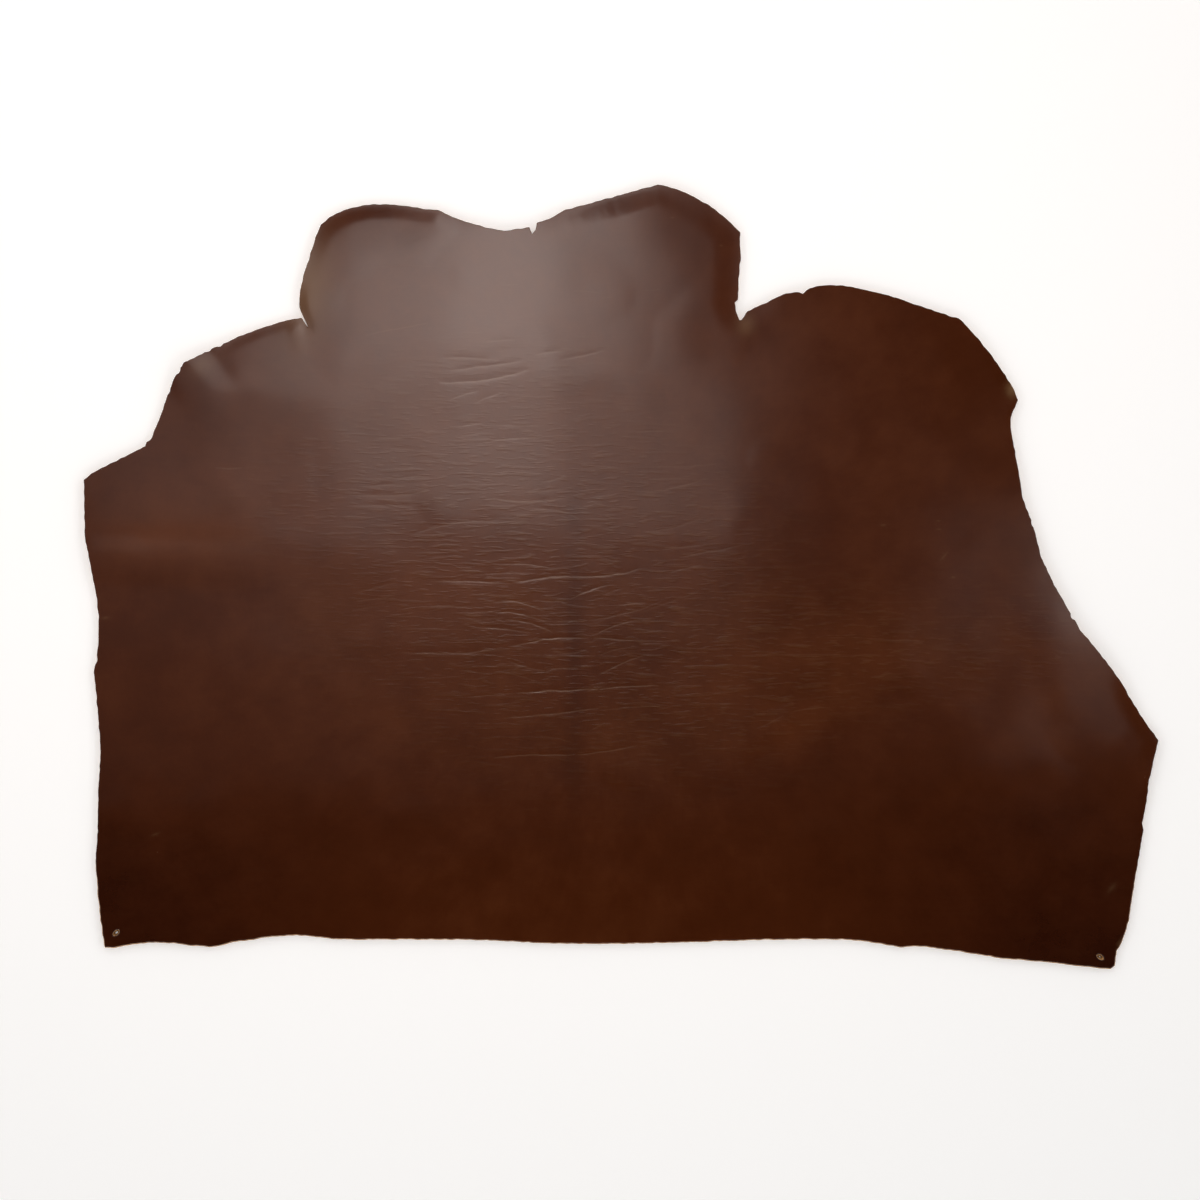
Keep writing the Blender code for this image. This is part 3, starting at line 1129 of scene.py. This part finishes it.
# Four of these patches are painted light: a painted reflection of warm light on the left rim of the neck at
# (-440, 402), and painted highlights on the curled tip of the right shoulder at (548, 262), at the right
# notch at (174, 352) and on a small fold of the left shoulder at (-585, 296).
BARES_AND_PAINTED_LIGHT = [Patch(*row) for row in (
    (-440, 402, 32, 72, -8, 0.26),
    (548, 262, 8, 10, 0, 0.45),
    (174, 352, 12, 14, 0, 0.18),
    (-585, 296, 20, 14, 40, 0.10),
    (701, -519, 3, 10, -16, 0.80),
)]
# How strong the painted highlight is on each crease's lower lip, the wall that faces the light.
CREASE_LIP_HIGHLIGHT = 0.18
SCAR_PALENESS = 0.1
LEAST_WRINKLING = 0.08
WRINKLINGS = [Patch(*row) for row in (
    (-190, 120, 260, 150, 0, 0.65),
    (-190, 290, 200, 80, 0, 0.25),
    (-80, -80, 260, 190, 0, 1.0),
    (330, -105, 220, 80, 0, 1.0),
    (150, -190, 120, 90, 0, 0.6),
    (110, 60, 120, 110, 0, 0.45),
    (-430, 110, 120, 80, 0, 0.3),
    (580, -60, 60, 90, 20, 0.4),
)]


def patchwork(x, y, patches):
    """The sum of the patches at each point."""
    total = np.zeros_like(x)
    for patch in patches:
        turn = math.radians(patch.turn)
        dx, dy = x - patch.x * MM, y - patch.y * MM
        along = (dx * math.cos(turn) + dy * math.sin(turn)) / (patch.length * MM)
        across = (dy * math.cos(turn) - dx * math.sin(turn)) / (patch.width * MM)
        total += patch.strength * np.exp(-(along * along + across * across))
    return total


def store(mesh, name, values):
    mesh.attributes.new(name, "FLOAT", "POINT").data.foreach_set("value", values.astype(np.float32))


places = np.empty(len(hide.data.vertices) * 3, np.float32)
hide.data.vertices.foreach_get("co", places)
px, py = (places.reshape(-1, 3)[:, side].astype(float) for side in (0, 1))
first_row = sum(len(rim) for rim in rims) + len(net)
# Painted highlights on the creases' lower lips, from the rows beside the creases.
lip_highlight = np.zeros(len(px))
lip_highlight[first_row:first_row + len(row_points)] = CREASE_LIP_HIGHLIGHT * row_points[:, 2]
scar_patches = [Patch(s.x, s.y, s.length / 2, s.width / 2, s.turn, SCAR_PALENESS) for s in SCARS]
# The tone holds the dye's unevenness together with painted sheen, painted highlights and painted shade.
store(hide.data, "tone", patchwork(px, py, TONES_AND_PAINTED_LIGHT))
# Bare leather at the scars, with painted highlights and a painted reflection from the patches and the
# creases' lips.
store(hide.data, "bare", np.clip(patchwork(px, py, BARES_AND_PAINTED_LIGHT + scar_patches) + lip_highlight, 0, 1))
store(hide.data, "wrinkled", np.clip(patchwork(px, py, WRINKLINGS), LEAST_WRINKLING, 1))
print("patches:", len(TONES_AND_PAINTED_LIGHT) + len(BARES_AND_PAINTED_LIGHT) + len(WRINKLINGS), "scars:", len(SCARS))

# %% [markdown]
# ## Finishes
#
# Three finishes cover the hide. The dyed grain side has a pebbled surface under wax, the cut edge is raw
# fibre with the dye soaked in from above, and the flesh side is a short nap. Two effects are in more than
# one of them, so each is a node group with named inputs: an uneven mottling, and the fibre nap.

# %% A node group for uneven mottling
# A noise texture runs from 0 to 1, mostly close to its middle.
NOISE_MIDDLE = 0.5
NOISE_TO_MOTTLE = 3.0
SPECK_SHARE = 0.3


def group_with(name, inputs, output):
    """A new shader node group with one output. inputs maps each name to its default number."""
    tree = bpy.data.node_groups.new(name, "ShaderNodeTree")
    for label, value in inputs.items():
        tree.interface.new_socket(label, in_out="INPUT", socket_type="NodeSocketFloat").default_value = value
    tree.interface.new_socket(output, in_out="OUTPUT", socket_type="NodeSocketFloat")
    return tree, add(tree, "NodeGroupInput").outputs


def object_place(tree):
    return add(tree, "ShaderNodeTexCoord").outputs["Object"]


def noise_at(tree, place, scale, detail, roughness, stretch=None, dimensions="3D"):
    """A noise texture. stretch squeezes it along each axis first."""
    if stretch:
        place = add(tree, "ShaderNodeMapping", {"Vector": place, "Scale": stretch}).outputs["Vector"]
    return add(tree, "ShaderNodeTexNoise", {
        "Vector": place,
        "Scale": scale,
        "Detail": detail,
        "Roughness": roughness,
    }, noise_dimensions=dimensions).outputs["Fac"]


def mottle_group():
    """Mottle is from about -1 to 1: broad clouds, and finer ones within them."""
    tree, given = group_with("mottle", {"Cloud Scale": 20.0, "Speck Scale": 120.0}, "Mottle")
    place = object_place(tree)
    clouds = noise_at(tree, place, given["Cloud Scale"], 4.0, 0.6)
    specks = noise_at(tree, place, given["Speck Scale"], 3.0, 0.6)
    broad, fine = (maths(tree, "SUBTRACT", value, NOISE_MIDDLE) for value in (clouds, specks))
    both = times(tree, plus(tree, broad, times(tree, fine, SPECK_SHARE)), NOISE_TO_MOTTLE)
    add(tree, "NodeGroupOutput", {"Mottle": both})
    return tree


MOTTLE = mottle_group()

# %% A node group for fibre nap
# Fibres are four times as long as they are wide.
ALONG_X = (0.25, 1.0, 1.0)
ALONG_Y = (1.0, 0.25, 1.0)


def nap_group():
    """Nap is the height of loose fibres that lie in all directions, from 0 to 1."""
    tree, given = group_with("fibre nap", {"Fibre Scale": 900.0}, "Nap")
    place = object_place(tree)
    both = [noise_at(tree, place, given["Fibre Scale"], 3.0, 0.65, stretch) for stretch in (ALONG_Y, ALONG_X)]
    add(tree, "NodeGroupOutput", {"Nap": maths(tree, "MAXIMUM", *both)})
    return tree


NAP = nap_group()
print("node groups:", MOTTLE.name, "and", NAP.name)

# %% [markdown]
# The colours are those of the leather in plain white light, except where the tone and bare patches carry
# painted sheen, painted highlights and painted shade. Under a wax coat the grain side mirrors twice:
# the wax gives the sharp edge of the window's reflection, and the leather below it the broad soft glow. The
# fine wrinkles that are too small for the mesh are streaks of noise, and their crests have lost a little of
# the dye.

# %% Helpers for the finishes
def use_group(tree, group, sockets):
    return add(tree, "ShaderNodeGroup", sockets, node_tree=group).outputs[0]


def attribute(tree, name):
    return add(tree, "ShaderNodeAttribute", attribute_name=name).outputs["Fac"]


def colour_scale(tree, share, stops):
    """A colour ramp: stops is a list of (position, colour)."""
    ramp = add(tree, "ShaderNodeValToRGB", {"Fac": share})
    ramp.color_ramp.elements.remove(ramp.color_ramp.elements[1])
    ramp.color_ramp.elements[0].position, ramp.color_ramp.elements[0].color = stops[0]
    for position, colour in stops[1:]:
        ramp.color_ramp.elements.new(position).color = colour
    return ramp.outputs["Color"]


def mixed(tree, share, first, second):
    """The mix of two colours. A Mix node's two colour inputs are its numbers 6 and 7."""
    return add(tree, "ShaderNodeMix", {"Factor": share, 6: first, 7: second}, data_type="RGBA").outputs[2]


def bumped(tree, height, depth, before=None):
    """The surface's slope with the height pressed in, on top of the bump before it."""
    sockets = {"Strength": 1.0, "Distance": depth, "Height": height}
    if before:
        sockets["Normal"] = before
    return add(tree, "ShaderNodeBump", sockets).outputs["Normal"]


# %% The dyed grain side
# Where the tone patches reach them, the dark dye is in part painted shade and the pale dye in part painted
# sheen.
DARK_DYE = (0.0230, 0.0040, 0.0008, 1.0)
MIDDLE_DYE = (0.0530, 0.0110, 0.0022, 1.0)
PALE_DYE = (0.0950, 0.0240, 0.0060, 1.0)
TAN_FOR_BARE_AND_PAINTED_LIGHT = (0.2600, 0.1600, 0.0750, 1.0)
PEBBLE_SCALE = 1100.0
PEBBLE_DEPTH = 0.02 * MM
FINE_WRINKLE_DEPTH = 0.14 * MM
CREST_STARTS = 0.54
CREST_FULL = 0.75
# How closely the waves of the fine wrinkles follow each other along and across the hide.
LONG_STREAKS = (17.0, 130.0, 1.0)
SHORT_STREAKS = (45.0, 210.0, 1.0)
RUBBED_CRESTS = 0.035
MIDDLE_TONE = 0.5
TONE_REACH = 0.42
MOTTLE_REACH = 0.16
WAX_ROUGHNESS = 0.25
WAX_UNEVENNESS = 0.03


def streaks(tree, place, stretch):
    """Only the crests of stretched waves: short raised streaks with smooth leather between them."""
    return add(tree, "ShaderNodeMapRange", {
        "Value": noise_at(tree, place, 1.0, 1.0, 0.5, stretch, "2D"),
        "From Min": CREST_STARTS,
        "From Max": CREST_FULL,
    }, interpolation_type="SMOOTHSTEP").outputs["Result"]


def grain_material():
    material, tree, shader = new_material("dyed and waxed grain", {
        "Specular IOR Level": 0.22,
        "Coat Weight": 0.40,
        "Coat Roughness": 0.12,
        "Coat IOR": 1.5,
    })
    place = object_place(tree)
    crests = plus(tree, streaks(tree, place, LONG_STREAKS), streaks(tree, place, SHORT_STREAKS))
    wrinkle = times(tree, crests, attribute(tree, "wrinkled"))
    mottle = use_group(tree, MOTTLE, {"Cloud Scale": 16.0, "Speck Scale": 130.0})
    tone = plus(tree, times(tree, attribute(tree, "tone"), TONE_REACH), MIDDLE_TONE)
    # The tone carries the dye's unevenness and painted sheen, painted highlights and painted shade.
    dye_and_painted_light = colour_scale(tree, plus(tree, tone, times(tree, mottle, MOTTLE_REACH)), [
        (0.0, DARK_DYE), (MIDDLE_TONE, MIDDLE_DYE), (1.0, PALE_DYE),
    ])
    # Bare leather at the scars and the rubbed crests, and painted light: highlights and a warm reflection.
    bare = plus(tree, attribute(tree, "bare"), times(tree, wrinkle, RUBBED_CRESTS))
    pebbles = add(tree, "ShaderNodeTexVoronoi", {
        "Vector": place,
        "Scale": PEBBLE_SCALE,
    }, voronoi_dimensions="2D")
    wrinkled = bumped(tree, wrinkle, FINE_WRINKLE_DEPTH)
    feed(tree, shader, {
        "Base Color": mixed(tree, bare, dye_and_painted_light, TAN_FOR_BARE_AND_PAINTED_LIGHT),
        "Roughness": plus(tree, times(tree, mottle, WAX_UNEVENNESS), WAX_ROUGHNESS),
        "Normal": bumped(tree, pebbles.outputs["Distance"], PEBBLE_DEPTH, wrinkled),
    })
    return material


# %% The raw cut edge and the flesh side
EDGE_TAN = (0.5200, 0.2800, 0.1000, 1.0)
EDGE_BROWN = (0.1300, 0.0580, 0.0200, 1.0)
FLESH_TAN = (0.3000, 0.1800, 0.0900, 1.0)
FLESH_BROWN = (0.1700, 0.0880, 0.0400, 1.0)
EDGE_NAP = 0.25 * MM
FLESH_NAP = 0.30 * MM
MOTTLE_IN_FIBRES = 0.3
# Where the colours stop changing, as shares of the nap's height.
BROWN_BELOW = 0.2
TAN_ABOVE = 0.9


def fibre_material(name, tan, brown, nap_depth):
    material, tree, shader = new_material(name, {"Roughness": 0.88, "Specular IOR Level": 0.2})
    mottle = use_group(tree, MOTTLE, {"Cloud Scale": 30.0, "Speck Scale": 400.0})
    nap = use_group(tree, NAP, {"Fibre Scale": 1100.0})
    share = plus(tree, times(tree, mottle, MOTTLE_IN_FIBRES), nap)
    feed(tree, shader, {
        "Base Color": colour_scale(tree, share, [(BROWN_BELOW, brown), (TAN_ABOVE, tan)]),
        "Normal": bumped(tree, nap, nap_depth),
    })
    return material


CUT_MATERIAL = fibre_material("raw cut edge", EDGE_TAN, EDGE_BROWN, EDGE_NAP)
FLESH_MATERIAL = fibre_material("napped flesh side", FLESH_TAN, FLESH_BROWN, FLESH_NAP)
for material in (grain_material(), CUT_MATERIAL, FLESH_MATERIAL):
    hide.data.materials.append(material)
print("finishes:", [material.name for material in hide.data.materials])

# %% [markdown]
# ## Loose fibres
#
# A knife leaves loose fibres along the lower edge of thick leather. Each is a hair-thin cone, and thousands
# of them follow the rim, so Geometry Nodes place them: points along the lower rim, a cone on each, leaning
# out of the cut at random.

# %% Grow the fibres along the lower rim
FIBRE_SPACING = 0.9 * MM
FIBRE_LENGTH = 1.1 * MM
FIBRE_RADIUS = 0.055 * MM
FIBRE_SEED = 5
SHORTEST_FIBRE = 0.35
# How far a fibre may stray from straight out, along each axis.
LEAST_STRAY = (-0.8, -0.8, -0.15)
MOST_STRAY = (0.8, 0.8, 1.1)
FIBRE_LIFT = 0.8 * MM


def fibre_tree():
    tree, given = tree_with("edge fibres", {
        "Spacing": "Float",
        "Length": "Float",
        "Radius": "Float",
        "Seed": "Int",
        "Material": "Material",
    })
    seed = given["Seed"]
    curve = add(tree, "GeometryNodeMeshToCurve", {"Mesh": given["Geometry"]}).outputs["Curve"]
    spread = add(tree, "GeometryNodeCurveToPoints", {
        "Curve": curve,
        "Length": given["Spacing"],
    }, mode="LENGTH")
    along = spread.outputs["Tangent"]
    out = add(tree, "ShaderNodeVectorMath", {0: along, 1: (0.0, 0.0, 1.0)}, operation="CROSS_PRODUCT")
    stray = add(tree, "FunctionNodeRandomValue", {
        "Min": LEAST_STRAY,
        "Max": MOST_STRAY,
        "Seed": seed,
    }, data_type="FLOAT_VECTOR")
    lean = add(tree, "ShaderNodeVectorMath", {
        0: out.outputs["Vector"],
        1: stray.outputs["Value"],
    }, operation="ADD")
    turn = add(tree, "FunctionNodeAlignRotationToVector", {"Vector": lean.outputs["Vector"]}, axis="Z")
    size = add(tree, "FunctionNodeRandomValue", {2: SHORTEST_FIBRE, 3: 1.0, "Seed": seed}, data_type="FLOAT")
    hair = add(tree, "GeometryNodeMeshCone", {
        "Vertices": 3,
        "Side Segments": 1,
        "Radius Top": 0.0,
        "Radius Bottom": given["Radius"],
        "Depth": given["Length"],
    }, fill_type="NGON")
    place = add(tree, "GeometryNodeInstanceOnPoints", {
        "Points": spread.outputs["Points"],
        "Instance": hair.outputs["Mesh"],
        "Rotation": turn.outputs["Rotation"],
        "Scale": size.outputs[1],
    })
    solid = add(tree, "GeometryNodeRealizeInstances", {"Geometry": place.outputs["Instances"]})
    finish = add(tree, "GeometryNodeSetMaterial", {
        "Geometry": solid.outputs["Geometry"],
        "Material": given["Material"],
    })
    return hand_out(tree, finish.outputs["Geometry"])


def rim_path(name):
    """The hide's lower rim as a closed line, lifted a little so that no fibre reaches under the hide."""
    rim = flesh_rims[0]
    xy = np.array([point[:] for point in rim])
    heights = sheet_height(xy[:, 0], xy[:, 1]) + FIBRE_LIFT
    points = np.column_stack((xy, heights)).tolist()
    mesh = bpy.data.meshes.new(name)
    mesh.from_pydata(points, [(i, (i + 1) % len(rim)) for i in range(len(rim))], [])
    return mesh


fibres = bpy.data.objects.new("edge_fibres", rim_path("edge_fibres"))
bpy.context.scene.collection.objects.link(fibres)
apply_tree(fibres, fibre_tree(), {
    "Spacing": FIBRE_SPACING,
    "Length": FIBRE_LENGTH,
    "Radius": FIBRE_RADIUS,
    "Seed": FIBRE_SEED,
    "Material": CUT_MATERIAL,
})
print("fibres:", len(fibres.data.polygons), "faces")

# %% [markdown]
# ## Attaching the pieces
#
# The sheet takes the place of the plain solid, and both pieces ride on the object's one body.

# %% Put each piece on the body and hide the plain solid
# The holes run the other way round, so their areas are below 0.
for piece in (hide, fibres):
    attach(piece, "root")
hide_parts("hide")
